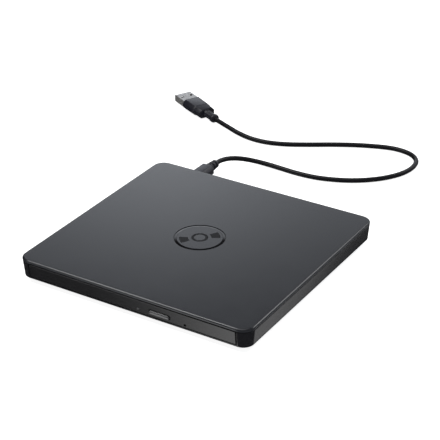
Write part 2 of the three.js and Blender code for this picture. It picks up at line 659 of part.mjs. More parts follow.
function addMechanism(mechanism) {
  add(mechanism, "traverse_frame", traverseFrame(), DARK_STEEL);
  add(mechanism, "deck_plate", deckPlate(), BLACK_MATTE);
  add(mechanism, "spindle_motor", spindleMotor(), STEEL);
  add(mechanism, "turntable", turntable(), STEEL);
  add(mechanism, "turntable_pad", ring(11.5, 14.2, 9.25, 9.55, 36), RUBBER);
  clawAngles().forEach((angle, i) => {
    add(mechanism, "clamp_claw_" + (i + 1), clampClaw(), WHITE_PLASTIC).rotation.z = angle;
  });
  add(mechanism, "guide_shaft_main", shaftRod(MAIN_SHAFT), STEEL);
  add(mechanism, "guide_shaft_sub", shaftRod(SUB_SHAFT), STEEL);
  add(mechanism, "lead_screw", shaftRod(SCREW), STEEL);
  add(mechanism, "feed_motor", roundedPlate(8.2, 5.2, 1, 4.5, 7.8, 5.4, SCREW.v + 0.1), DARK_STEEL);
  add(mechanism, "pickup_sled", pickupSled(), DARK_STEEL);
  add(mechanism, "lens_holder", lensHolder(), BLACK_MATTE);
  add(mechanism, "objective_lens", objectiveLens(), LENS_GLASS);
  [[-13, -20.3], [-13, 20], [64.7, -14.9]].forEach(([u, v], i) => {
    const damper = cylinder(1.5, 7.45, 7.95, u, v, 16);
    add(mechanism, "damper_" + (i + 1), damper, RUBBER);
  });
}

// ---------------------------------------------------------------- cable

function microPlugShell() {
  const outer = roundedBar(6.85, 1.8, 0.5, 62.6, 70.5, PORT.x, PORT.z);
  return cut(outer, roundedBar(6.35, 1.3, 0.35, 62, 70, PORT.x, PORT.z));
}

// A stack of rounded sections along +Y: { y, w, h, r }, centred on x, z.
function bodyAlongY(sections, x, z, steps = 3) {
  const levels = sections.map(({ y, w, h, r }) => ({ z: y, w, d: h, r }));
  const basis = new THREE.Matrix4().makeBasis(
    new THREE.Vector3(0, 0, 1),
    new THREE.Vector3(1, 0, 0),
    new THREE.Vector3(0, 1, 0),
  );
  const turnedRound = levels.map((level) => ({ ...level, w: level.d, d: level.w }));
  return loft(turnedRound, steps).applyMatrix4(basis).translate(x, 0, z);
}

// Ribs of a moulded strain relief, from start to end along the stacking direction.
function bootSections(start, end, wide, narrow) {
  const ribs = 3;
  const step = (end - start) / (2 * ribs);
  const sections = [];
  for (let i = 0; i <= 2 * ribs; i++) {
    const size = THREE.MathUtils.lerp(wide, narrow, i / (2 * ribs)) - (i % 2 ? 0.5 : 0);
    sections.push({ y: start + i * step, w: size, h: size, r: size / 2 - 0.02 });
  }
  return sections;
}

function microPlugBody() {
  const { start, bodyEnd, bootEnd } = MICRO_PLUG;
  const body = bodyAlongY([
    { y: start, w: 9.2, h: 6.6, r: 1.9 },
    { y: start + 0.5, w: 9.8, h: 7.2, r: 2 },
    { y: bodyEnd - 0.6, w: 9.4, h: 6.9, r: 2 },
    { y: bodyEnd, w: 8.6, h: 6.2, r: 1.8 },
  ], PORT.x, PORT.z);
  const boot = bodyAlongY(bootSections(bodyEnd - 0.2, bootEnd, 6.2, 5), PORT.x, PORT.z);
  const shellSeat = roundedBar(7.5, 2.4, 0.6, start - 1, 70.9, PORT.x, PORT.z);
  return cut(join(body, boot), shellSeat);
}

function cordTube() {
  const section = new THREE.Shape();
  section.absarc(0, 0, CORD.radius, 0, 2 * Math.PI);
  const ringPoints = section.getSpacedPoints(CORD.sides).slice(0, CORD.sides);
  const extrudePath = new THREE.CatmullRomCurve3(CORD_ROUTE, false, "centripetal");
  const options = { steps: CORD.steps, extrudePath, bevelEnabled: false };
  return new THREE.ExtrudeGeometry(new THREE.Shape(ringPoints), options);
}

// The large plug in its own frame: +Y runs from the cord's end to the metal tip, Z is up.
function addUsbA(plug) {
  const boot = bodyAlongY([
    { y: 0, w: 4.8, h: 4.2, r: 1.4 },
    { y: 0.8, w: 6.9, h: 5.7, r: 2.2 },
    { y: 3.2, w: 6.9, h: 5.7, r: 2.2 },
    { y: 3.9, w: 5.9, h: 5, r: 2 },
    { y: 11.4, w: 6.3, h: 5.3, r: 2 },
  ], 0, 0);
  const body = bodyAlongY([
    { y: 11, w: 9.4, h: 5.4, r: 1.6 },
    { y: 11.8, w: 12, h: 6.2, r: 2 },
    { y: 17.6, w: 12.5, h: 6.3, r: 2 },
    { y: 18.8, w: 13.5, h: 6.6, r: 2 },
    { y: 30.8, w: 14, h: 6.8, r: 2 },
    { y: 31.4, w: 13.4, h: 6.2, r: 1.7 },
  ], 0, 0);
  const seat = roundedBar(12.7, 5.2, 0.6, 25, 33, 0, 0);
  add(plug, "usb_a_body", cut(join(boot, body), seat), BLACK_MATTE);
  const shell = cut(
    roundedBar(12, 4.5, 0.5, 25.3, 43.4, 0, 0),
    roundedBar(11.4, 3.9, 0.3, 25.7, 45, 0, 0),
    ...[-3.2, 3.2].map((x) => box(x - 1.15, x + 1.15, 37, 39.4, 1, 3)),
    ...[-3.2, 3.2].map((x) => box(x - 1.15, x + 1.15, 37, 39.4, -3, -1)),
  );
  add(plug, "usb_a_shell", shell, STEEL);
  add(plug, "usb_a_tongue", box(-5.5, 5.5, 26, 42.9, -1.7, 0), WHITE_PLASTIC);
}

function addCable() {
  const cable = new THREE.Group();
  root.add(cable);
  add(cable, "micro_plug_shell", microPlugShell(), STEEL);
  add(cable, "micro_plug_body", microPlugBody(), BLACK_MATTE);
  add(cable, "usb_cable", cordTube(), BLACK_MATTE);
  const plug = new THREE.Group();
  plug.position.set(USB_A.x, USB_A.y, USB_A.z);
  plug.rotation.z = USB_A.turn - Math.PI / 2;
  cable.add(plug);
  addUsbA(plug);
}

// ---------------------------------------------------------------- assembly

addCase();
addChassis();
const tray = new THREE.Group();
root.add(tray);
addTray(tray);
const mechanism = new THREE.Group();
mechanism.position.set(0, SPINDLE_Y, 0);
mechanism.rotation.z = MECHANISM_TURN;
tray.add(mechanism);
addMechanism(mechanism);
addCable();

export default root;
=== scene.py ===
"""The looks of the external optical drive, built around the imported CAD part.

Shapes are written in millimetres in the part's own frame and scaled to metres when a mesh is made.
"""

import math

import bmesh
import bpy
from mathutils import Matrix, Vector


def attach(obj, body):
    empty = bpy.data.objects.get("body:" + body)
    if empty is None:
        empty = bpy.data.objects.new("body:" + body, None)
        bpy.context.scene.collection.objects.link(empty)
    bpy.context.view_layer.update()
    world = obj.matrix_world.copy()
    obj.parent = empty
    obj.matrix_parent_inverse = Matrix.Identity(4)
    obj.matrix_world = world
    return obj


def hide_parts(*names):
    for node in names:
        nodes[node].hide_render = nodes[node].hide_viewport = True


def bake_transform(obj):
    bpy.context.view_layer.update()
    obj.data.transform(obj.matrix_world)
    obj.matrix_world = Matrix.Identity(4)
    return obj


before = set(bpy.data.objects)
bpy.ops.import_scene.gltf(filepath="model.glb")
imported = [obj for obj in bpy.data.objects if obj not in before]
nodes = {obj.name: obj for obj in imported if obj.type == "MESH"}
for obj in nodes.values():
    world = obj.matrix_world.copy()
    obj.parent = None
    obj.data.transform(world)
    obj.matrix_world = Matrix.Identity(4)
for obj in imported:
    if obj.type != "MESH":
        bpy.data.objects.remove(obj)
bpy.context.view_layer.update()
MM = 0.001

# ---------------------------------------------------------------- camera

TARGET = Vector((-4.81, 28.79, 10.1)) * MM
AZIMUTH, ELEVATION, ROLL = (math.radians(a) for a in (31.78, 28.40, -0.31))
DISTANCE = 832.31 * MM
FOCAL_LENGTH, SENSOR = 121.5, 36


def place_camera():
    back = Vector((
        math.sin(AZIMUTH) * math.cos(ELEVATION),
        -math.cos(AZIMUTH) * math.cos(ELEVATION),
        math.sin(ELEVATION),
    ))
    right = (-back).cross(Vector((0, 0, 1))).normalized()
    up = right.cross(-back)
    turned_right = right * math.cos(ROLL) + up * math.sin(ROLL)
    turned_up = up * math.cos(ROLL) - right * math.sin(ROLL)
    data = bpy.data.cameras.new("camera")
    data.lens = FOCAL_LENGTH
    data.sensor_width = SENSOR
    data.clip_start = 0.01
    camera = bpy.data.objects.new("camera", data)
    basis = Matrix((turned_right, turned_up, back)).transposed().to_4x4()
    camera.matrix_world = Matrix.Translation(TARGET + back * DISTANCE) @ basis
    bpy.context.scene.collection.objects.link(camera)
    bpy.context.scene.camera = camera


place_camera()

# ---------------------------------------------------------------- node materials


class Surface:
    """A Principled material with its noise patterns in the part's own frame."""

    def __init__(self, name, color, roughness, metallic=0.0, specular=0.5):
        self.material = bpy.data.materials.new(name)
        self.material.use_nodes = True
        self.tree = self.material.node_tree
        self.shader = self.tree.nodes["Principled BSDF"]
        self.color = color
        self.shader.inputs["Base Color"].default_value = (*color, 1)
        self.shader.inputs["Roughness"].default_value = roughness
        self.shader.inputs["Metallic"].default_value = metallic
        self.shader.inputs["Specular IOR Level"].default_value = specular
        self.roughness = roughness
        self.height = None

    def node(self, kind, **settings):
        made = self.tree.nodes.new(kind)
        for key, value in settings.items():
            setattr(made, key, value)
        return made

    def link(self, source, target):
        self.tree.links.new(source, target)

    def coordinates(self, stretch=(1, 1, 1), turn=0.0):
        place = self.node("ShaderNodeTexCoord")
        mapping = self.node("ShaderNodeMapping")
        mapping.inputs["Scale"].default_value = stretch
        mapping.inputs["Rotation"].default_value = (0, 0, turn)
        self.link(place.outputs["Object"], mapping.inputs["Vector"])
        return mapping.outputs["Vector"]

    def noise(self, size, detail, stretch=(1, 1, 1), turn=0.0):
        """Noise with features about `size` millimetres across."""
        texture = self.node("ShaderNodeTexNoise")
        texture.inputs["Scale"].default_value = 1 / (size * MM)
        texture.inputs["Detail"].default_value = detail
        self.link(self.coordinates(stretch, turn), texture.inputs["Vector"])
        return texture.outputs["Fac"]

    def grains(self, size):
        """A cellular pattern like the spark-eroded grain of a moulding tool."""
        texture = self.node("ShaderNodeTexVoronoi", feature="SMOOTH_F1")
        texture.inputs["Scale"].default_value = 1 / (size * MM)
        self.link(self.coordinates(), texture.inputs["Vector"])
        return texture.outputs["Distance"]

    def tint(self, value, other, low=0.35, high=0.65):
        """Mixes the base colour with another one by a pattern."""
        ramp = self.node("ShaderNodeValToRGB")
        ramp.color_ramp.elements[0].position = low
        ramp.color_ramp.elements[0].color = (*self.color, 1)
        ramp.color_ramp.elements[1].position = high
        ramp.color_ramp.elements[1].color = (*other, 1)
        self.link(value, ramp.inputs["Fac"])
        self.link(ramp.outputs["Color"], self.shader.inputs["Base Color"])

    def polish(self, value, spread):
        """Lets the roughness vary by `spread` either way with a pattern."""
        remap = self.node("ShaderNodeMapRange")
        remap.inputs["From Min"].default_value = 0.3
        remap.inputs["From Max"].default_value = 0.7
        remap.inputs["To Min"].default_value = self.roughness - spread
        remap.inputs["To Max"].default_value = self.roughness + spread
        self.link(value, remap.inputs["Value"])
        self.link(remap.outputs["Result"], self.shader.inputs["Roughness"])

    def bump(self, value, depth):
        """Adds relief `depth` millimetres deep on top of any that is there."""
        relief = self.node("ShaderNodeBump")
        relief.inputs["Distance"].default_value = depth * MM
        self.link(value, relief.inputs["Height"])
        if self.height:
            self.link(self.height, relief.inputs["Normal"])
        self.height = relief.outputs["Normal"]
        self.link(self.height, self.shader.inputs["Normal"])


def moulded(name, color, roughness, grain, depth, specular=0.5, shift=1.25):
    """Moulded plastic: faint flow variation in colour and gloss, and a fine tool grain."""
    surface = Surface(name, color, roughness, specular=specular)
    surface.tint(surface.noise(28, 4), tuple(c * shift for c in color))
    surface.polish(surface.noise(14, 4), roughness * 0.05)
    surface.bump(surface.grains(grain), depth)
    surface.bump(surface.noise(0.12, 2), depth * 0.5)
    return surface.material


DRAWN = (1, 0.04, 1)
EVEN = (0.3, 0.3, 0.3)


def metal(name, color, roughness, along=DRAWN, size=0.25, depth=0.006, turn=0.0, shift=0.8, metallic=1.0):
    """Metal with a fine grain, drawn out lengthwise on rolled or drawn stock."""
    surface = Surface(name, color, roughness, metallic=metallic)
    surface.tint(surface.noise(9, 4), tuple(c * shift for c in color))
    surface.polish(surface.noise(size * 2, 3, along, turn), roughness * 0.3)
    surface.bump(surface.noise(size, 2, along, turn), depth)
    return surface.material


def rubber(name, color=(0.018, 0.018, 0.019)):
    surface = Surface(name, color, 0.78, specular=0.35)
    surface.tint(surface.noise(3, 5), tuple(c * 1.7 for c in color))
    surface.bump(surface.noise(0.15, 4), 0.03)
    return surface.material


def circuit_board(name):
    """Green solder mask with copper tracks showing through it as lighter lines."""
    mask, lit_mask, track = (0.012, 0.085, 0.035), (0.014, 0.1, 0.042), (0.03, 0.19, 0.075)
    surface = Surface(name, mask, 0.32)
    tracks = surface.node("ShaderNodeTexBrick", offset=0.35)
    tracks.inputs["Scale"].default_value = 1 / (1.0 * MM)
    tracks.inputs["Mortar Size"].default_value = 0.035
    tracks.inputs["Brick Width"].default_value = 3.4
    tracks.inputs["Row Height"].default_value = 0.55
    for socket, color in (("Color1", mask), ("Color2", lit_mask), ("Mortar", track)):
        tracks.inputs[socket].default_value = (*color, 1)
    surface.link(surface.coordinates(), tracks.inputs["Vector"])
    surface.link(tracks.outputs["Color"], surface.shader.inputs["Base Color"])
    surface.bump(tracks.outputs["Fac"], -0.03)
    surface.polish(surface.noise(2, 3), 0.05)
    return surface.material


def flex_film(name):
    """Pale film with a ribbon of copper tracks running along Y inside it."""
    surface = Surface(name, (0.52, 0.49, 0.40), 0.32)
    tracks = surface.node("ShaderNodeTexWave", bands_direction="X")
    tracks.inputs["Scale"].default_value = 0.314 / (0.5 * MM)
    surface.link(surface.coordinates(), tracks.inputs["Vector"])
    surface.tint(tracks.outputs["Fac"], (0.26, 0.22, 0.15), 0.4, 0.6)
    surface.bump(tracks.outputs["Fac"], 0.01)
    surface.polish(surface.noise(2, 3), 0.05)
    return surface.material


def coated_lens(name):
    surface = Surface(name, (0.30, 0.42, 0.75), 0.06, specular=0.8)
    surface.shader.inputs["Coat Weight"].default_value = 0.6
    surface.tint(surface.noise(2, 1), (0.42, 0.34, 0.70))
    return surface.material


LID = moulded("lid_satin_charcoal", (0.020, 0.0212, 0.0255), 0.19, grain=0.22, depth=0.001, shift=1.04)
CASE = moulded("case_satin_black", (0.010, 0.010, 0.012), 0.1, grain=0.3, depth=0.002, shift=1.08)
BEZEL = moulded("bezel_gloss_black", (0.010, 0.010, 0.011), 0.13, grain=0.5, depth=0.001, shift=1.08)
INLAY = moulded("emblem_gloss_black", (0.007, 0.007, 0.008), 0.07, grain=0.6, depth=0.0005, shift=1.1)
PRINT = moulded(
    "emblem_matt_black", (0.005, 0.005, 0.006), 0.45, grain=0.3, depth=0.002, specular=0.12, shift=1.1,
)
BUTTON = moulded("button_grey", (0.035, 0.035, 0.037), 0.14, grain=0.4, depth=0.002, specular=0.9)
TRAY = moulded("tray_matt_black", (0.016, 0.016, 0.017), 0.5, grain=0.3, depth=0.012)
PALE = moulded("natural_plastic", (0.62, 0.61, 0.56), 0.4, grain=0.4, depth=0.008, shift=0.92)
LAMP = moulded("lamp_light_pipe", (0.016, 0.017, 0.018), 0.2, grain=0.6, depth=0.002, shift=1.1)
CHIP = moulded("chip_epoxy", (0.014, 0.014, 0.015), 0.5, grain=0.15, depth=0.01)
CORD = moulded("cord_jacket", (0.006, 0.006, 0.008), 0.4, grain=0.3, depth=0.002, specular=0.26)
PLUG = moulded("plug_overmould", (0.010, 0.010, 0.017), 0.4, grain=0.25, depth=0.012)
FILM = flex_film("ribbon_film")
LABEL = moulded("label_film", (0.34, 0.35, 0.36), 0.35, grain=0.3, depth=0.003)
RUBBER = rubber("foot_rubber")
PAD = rubber("turntable_rubber", (0.03, 0.03, 0.032))
STEEL = metal("zinc_plated_sheet", (0.60, 0.61, 0.62), 0.34)
NICKEL = metal("nickel_plating", (0.50, 0.49, 0.48), 0.22, along=EVEN, depth=0.003, shift=0.9)
SHAFT = metal("ground_shaft", (0.68, 0.68, 0.69), 0.16, along=(1, 0.05, 1), turn=math.radians(-45))
CASTING = metal("dark_casting", (0.16, 0.165, 0.175), 0.45, along=(1, 1, 1), size=0.5, depth=0.03)
SPRING = metal("spring_wire", (0.5, 0.5, 0.51), 0.25, along=(0.4, 0.4, 0.4))
PLUG_SHELL = metal(
    "plug_shell_plating", (0.28, 0.275, 0.27), 0.26, along=EVEN, depth=0.003, shift=0.9, metallic=0.55,
)
GOLD = metal("contact_gold", (0.85, 0.62, 0.28), 0.22, along=EVEN, depth=0.002)
BOARD = circuit_board("circuit_board")
LENS = coated_lens("lens_coating")

# ---------------------------------------------------------------- mesh helpers


SHARP = 32  # degrees


def clean(mesh, sharp_angle):
    """Smooth shading that breaks where faces meet at more than sharp_angle degrees."""
    mesh.polygons.foreach_set("use_smooth", [True] * len(mesh.polygons))
    mesh.set_sharp_from_angle(angle=math.radians(sharp_angle))
    mesh.update()


def solid(name, verts, faces, material, sharp_angle=SHARP):
    """A mesh object from millimetre coordinates."""
    mesh = bpy.data.meshes.new(name)
    mesh.from_pydata([Vector(v) * MM for v in verts], [], faces)
    bm = bmesh.new()
    bm.from_mesh(mesh)
    bmesh.ops.recalc_face_normals(bm, faces=bm.faces)
    bm.to_mesh(mesh)
    bm.free()
    clean(mesh, sharp_angle)
    mesh.materials.append(material)
    made = bpy.data.objects.new(name, mesh)
    bpy.context.scene.collection.objects.link(made)
    return made


def loft(rings):
    """Vertices and faces of a capped skin through closed rings of the same number of points."""
    count = len(rings[0])
    verts = [p for ring in rings for p in ring]
    faces = []
    for k in range(len(rings) - 1):
        for i in range(count):
            j = (i + 1) % count
            faces.append((k * count + i, k * count + j, (k + 1) * count + j, (k + 1) * count + i))
    faces.append(tuple(reversed(range(count))))
    faces.append(tuple((len(rings) - 1) * count + i for i in range(count)))
    return verts, faces


def rounded(width, height, radius, steps=6):
    """Corners of a rounded rectangle about the origin, anticlockwise."""
    points = []
    for corner, (sx, sy) in enumerate(((1, 1), (-1, 1), (-1, -1), (1, -1))):
        for i in range(steps + 1):
            angle = (corner + i / steps) * math.pi / 2
            points.append((
                sx * (width / 2 - radius) + radius * math.cos(angle),
                sy * (height / 2 - radius) + radius * math.sin(angle),
            ))
    return points


def turned(x, y, z, radius, sides):
    """A circle about an upright axis."""
    around = (2 * math.pi * i / sides for i in range(sides))
    return [(x + radius * math.cos(a), y + radius * math.sin(a), z) for a in around]


def along_y(section, y, x, z):
    """Places a section of [x, z] points across the part at a depth y."""
    return [(x + u, y, z + v) for u, v in section]


def apply_modifiers(piece):
    """Turns what the modifiers show into the piece's own mesh."""
    graph = bpy.context.evaluated_depsgraph_get()
    mesh = bpy.data.meshes.new_from_object(piece.evaluated_get(graph))
    piece.modifiers.clear()
    bm = bmesh.new()
    bm.from_mesh(mesh)
    bmesh.ops.dissolve_degenerate(bm, edges=bm.edges, dist=0.0005 * MM)
    bm.to_mesh(mesh)
    bm.free()
    piece.data = mesh
    clean(mesh, SHARP)


def bevel(piece, width, angle):
    """Breaks the edges that are sharper than an angle in degrees."""
    modifier = piece.modifiers.new("edges", "BEVEL")
    modifier.width = width * MM
    modifier.segments = 2
    modifier.limit_method = "ANGLE"
    modifier.angle_limit = math.radians(angle)
    modifier.harden_normals = True
    apply_modifiers(piece)


def carve(piece, *cutters):
    """Cuts each cutter's shape out of a piece and removes the cutter."""
    for cutter in cutters:
        modifier = piece.modifiers.new("carve", "BOOLEAN")
        modifier.operation = "DIFFERENCE"
        modifier.solver = "EXACT"
        modifier.object = cutter
    apply_modifiers(piece)
    for cutter in cutters:
        bpy.data.objects.remove(cutter)


def flatten_normals(piece):
    """Keeps large flat faces flat where they meet rounded ones."""
    modifier = piece.modifiers.new("weighted", "WEIGHTED_NORMAL")
    modifier.keep_sharp = True
    modifier.weight = 90


def finish_piece(piece, body, slot, *replaced):
    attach(piece, body)
    if replaced:
        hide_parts(*replaced)


# ---------------------------------------------------------------- case outline

CASE_W, CASE_D, CASE_R = 142.9, 137.3, 7.0


def on_outline(angle, inset):
    """Where a ray from the middle meets the case's outline, moved in by inset."""
    half_w, half_d = CASE_W / 2 - inset, CASE_D / 2 - inset
    radius = max(CASE_R - inset, 0.8)
    c, s = math.cos(angle), math.sin(angle)
    reach = min(half_w / max(abs(c), 1e-9), half_d / max(abs(s), 1e-9))
    x, y = c * reach, s * reach
    if abs(x) > half_w - radius and abs(y) > half_d - radius:
        cx = math.copysign(half_w - radius, c)
        cy = math.copysign(half_d - radius, s)
        along = c * cx + s * cy
        reach = along + math.sqrt(max(along**2 - (cx**2 + cy**2 - radius**2), 0))
        x, y = c * reach, s * reach
    return x, y


# ---------------------------------------------------------------- lid

LID_TOP, LID_EDGE = 14.0, 12.35
RING_INNER, RING_OUTER = 12.6, 14.2
HUB_INNER, HUB_OUTER = 3.2, 4.6
GLINT_INNER, GLINT_OUTER, GLINT_HALF = 6.4, 11.2, math.radians(17.2)
GLINT_TURNS = (math.pi * 0.25, math.pi * 1.25)
POCKET = 13.62  # the floor of the emblem's pockets
RIM = 0.07  # the chamfer round each pocket
INLAY_TOP, RING_LOW_SIDE = 13.97, 13.72
UNDERSIDE = LID_EDGE + 0.45


def lid_angles():
    """Even steps, closer together at the case's corners."""
    found = {round(math.radians(a), 6) for a in range(0, 360, 4)}
    corner_from = math.atan2(CASE_D / 2 - CASE_R, CASE_W / 2)
    corner_to = math.atan2(CASE_D / 2, CASE_W / 2 - CASE_R)
    steps = 16
    for i in range(-2, steps + 3):
        a = corner_from + (corner_to - corner_from) * i / steps
        for corner in (a, math.pi - a, math.pi + a, 2 * math.pi - a):
            found.add(round(corner, 6))
    spaced = []
    for a in sorted(found):
        if not spaced or a - spaced[-1] > 0.0015:
            spaced.append(a)
    return spaced


def annulus(name, profile, material, steps=96):
    """A closed ring from a profile of [radius, height] points."""
    verts, faces = [], []
    count = len(profile)
    for i in range(steps):
        c, s = math.cos(2 * math.pi * i / steps), math.sin(2 * math.pi * i / steps)
        verts += [(r * c, r * s, z) for r, z in profile]
        for k in range(count):
            here, there = i * count, (i + 1) % steps * count
            after = (k + 1) % count
            faces.append((here + k, there + k, there + after, here + after))
    return solid(name, verts, faces, material, sharp_angle=12)


def glint(name, middle, levels, material):
    """A wedge of light on the disc, through levels of [inset, height]."""
    rings = []
    for inset, z in levels:
        ring = []
        for radius, way in ((GLINT_INNER + inset, 1), (GLINT_OUTER - inset, -1)):
            half = GLINT_HALF - inset / radius
            for i in range(9):
                a = middle + way * half * (1 - i / 4)
                ring.append((radius * math.cos(a), radius * math.sin(a), z))
        rings.append(ring)
    return solid(name, *loft(rings), material, sharp_angle=12)


def make_lid():
    angles = lid_angles()

    middle = 20

    def circle(radius, z):
        return [(radius * math.cos(a), radius * math.sin(a), z) for a in angles]

    def between(part):
        """A ring on the top, part of the way from the middle circle to the rim."""
        rim = (on_outline(a, 1.0) for a in angles)
        return [
            (px * (1 - part) + x * part, py * (1 - part) + y * part, LID_TOP)
            for (px, py, _), (x, y) in zip(circle(middle, LID_TOP), rim)
        ]

    rings = [circle(2, LID_TOP), circle(middle, LID_TOP)]
    rings += [between(part) for part in (0.5, 0.93, 1.0)]
    edge = [  # inset and height
        (0.86, 13.99), (0.7, 13.945), (0.5, 13.84), (0.3, 13.69), (0.14, 13.53), (0.05, 13.38), (0.01, 13.26),
        (0, 13.2), (0, 12.75), (0.02, 12.55), (0.07, 12.43), (0.16, 12.37), (0.3, LID_EDGE), (1.6, LID_EDGE),
    ]
    for inset, z in edge:
        rings.append([(*on_outline(a, inset), z) for a in angles])
    rings.append([(*on_outline(a, 2.2), UNDERSIDE) for a in angles])
    rings += [circle(40, UNDERSIDE), circle(5, UNDERSIDE)]
    lid = solid("lid", *loft(rings), LID, sharp_angle=50)

    wall = [(0, POCKET), (0, LID_TOP - RIM), (-RIM, LID_TOP), (-RIM, LID_TOP + 0.5)]

    def pocket(name, inner, outer):
        profile = [(inner, POCKET)] + [(outer - inset, z) for inset, z in wall]
        return annulus(name, profile + [(inner + inset, z) for inset, z in reversed(wall[1:])], LID)

    carve(
        lid,
        pocket("ring_pocket", RING_INNER, RING_OUTER),
        pocket("hub_pocket", HUB_INNER, HUB_OUTER),
        *[glint("glint_pocket", turn, wall, LID) for turn in GLINT_TURNS],
    )
    flatten_normals(lid)
    finish_piece(lid, "case", "lid_plastic", "top_cover")


def make_emblem():
    """Dark inlays of the disc emblem: an outer ring that slopes outwards, a hub ring and two glints."""
    foot, gap = POCKET - 0.05, 0.03

    def inlay(name, inner, outer, outer_top, material):
        inner, outer = inner + gap, outer - gap
        steps = [(0.0, -0.12), (0.04, -0.04), (0.12, 0.0)]
        profile = [(inner, foot), (outer, foot)]
        profile += [(outer - step, outer_top + drop) for step, drop in steps]
        profile += [(inner + step, INLAY_TOP + drop) for step, drop in reversed(steps)]
        return annulus(name, profile, material)

    wedge = [(gap, foot), (gap, INLAY_TOP - 0.11), (0.07, INLAY_TOP - 0.03), (0.14, INLAY_TOP)]
    pieces = [
        inlay("emblem_ring", RING_INNER, RING_OUTER, RING_LOW_SIDE, INLAY),
        inlay("emblem_hub", HUB_INNER, HUB_OUTER, INLAY_TOP, PRINT),
        *[glint(f"emblem_glint_{i + 1}", turn, wedge, PRINT) for i, turn in enumerate(GLINT_TURNS)],
    ]
    for piece in pieces:
        finish_piece(piece, "case", "bezel_plastic")


make_lid()
make_emblem()

# ---------------------------------------------------------------- lower case

MOUTH_SILL = 3.9
CASE_PROFILE = [  # inset from the outline and height, from the belly's middle out, up and back in
    (40, 1.0), (6, 1.0), (5.0, 1.0), (4.75, 1.02), (4.5, 1.08), (4.25, 1.18),
    (1.35, 2.83), (1.1, 2.99), (0.95, 3.14), (0.88, 3.32), (0.83, MOUTH_SILL),
    (0.6, 6.4), (0.35, 9.2), (0.12, 11.72), (0.12, 11.9), (0.17, 12.02), (0.28, 12.09), (0.45, 12.1),
    (1.7, 12.1), (1.85, 11.95), (2.5, MOUTH_SILL), (5.3, 2.2), (40, 2.2),
]
CORNER_STEPS = 12
FOOT_X, FOOT_Y, FOOT_RADIUS = 56, 52, 5.2
LABEL_W, LABEL_D, LABEL_Y = 62.4, 32.4, 18
PORT_X, PORT_Z, PORT_W, PORT_H = -48.5, 6.5, 8.6, 3.6


def case_ring(inset, z):
    radius = max(CASE_R - inset, 1.2)
    section = rounded(CASE_W - 2 * inset, CASE_D - 2 * inset, radius, CORNER_STEPS)
    return [(x, y, z) for x, y in section]


def make_case():
    """The tub with its mouth at the front, beds for feet and label, and a hole for the socket."""
    rings = [case_ring(inset, z) for inset, z in CASE_PROFILE]
    count = len(rings[0])
    verts, faces = loft(rings)
    right = 3 * (CORNER_STEPS + 1)  # the front wall runs between these two points of each ring
    left = right - 1
    low, high = (k for k, (_, z) in enumerate(CASE_PROFILE) if z == MOUTH_SILL)
    mouth = {
        (k * count + left, k * count + right, (k + 1) * count + right, (k + 1) * count + left)
        for k in range(low, high)
    }
    faces = [f for f in faces if f not in mouth]
    faces.append((low * count + left, high * count + left, high * count + right, low * count + right))
    faces.append(tuple(k * count + left for k in range(low, high + 1)))
    faces.append(tuple(k * count + right for k in reversed(range(low, high + 1))))
    case = solid("case_shell", verts, faces, CASE)

    def tool(name, rings):
        return solid(name, *loft(rings), CASE)

    foot = [(0.35, 0.6), (0.35, 0.98), (0, 1.2), (0, 1.4)]
    cutters = [
        tool("foot_bed", [turned(x, y, z, FOOT_RADIUS + flare, 48) for flare, z in foot])
        for x in (-FOOT_X, FOOT_X) for y in (-FOOT_Y, FOOT_Y)
    ]
    label = [(0.5, 0.6), (0.5, 0.99), (0, 1.12), (0, 1.2)]
    cutters.append(tool("label_bed", [
        [(x, y + LABEL_Y, z) for x, y in rounded(LABEL_W + flare, LABEL_D + flare, 2)] for flare, z in label
    ]))
    socket = [(60, 0, 1.2), (68.3, 0, 1.2), (68.75, 0.7, 1.5), (71, 0.7, 1.5)]
    cutters.append(tool("socket_hole", [
        along_y(rounded(PORT_W + flare, PORT_H + flare, radius), y, PORT_X, PORT_Z)
        for y, flare, radius in socket
    ]))
    carve(case, *cutters)
    bevel(case, 0.2, 40)
    flatten_normals(case)
    finish_piece(case, "case", "case_plastic", "bottom_case")


make_case()

# ---------------------------------------------------------------- tray front

BEZEL_HALF, BEZEL_LOW, BEZEL_TOP = 63.9, 4.1, 11.9
BEZEL_FRONT, BEZEL_LEAN = -68.5, 0.66
BUTTON_X, BUTTON_Z, BUTTON_W, BUTTON_H, BUTTON_FACE = 18.9, 7.1, 12.4, 2.1, -68.8
LAMP_X, LAMP_Z = 5.7, 6.5
PIN_X, PIN_Z = 34.1, 5.7


def lean_at(z):
    return BEZEL_LEAN * (BEZEL_TOP - z) / (BEZEL_TOP - BEZEL_LOW)


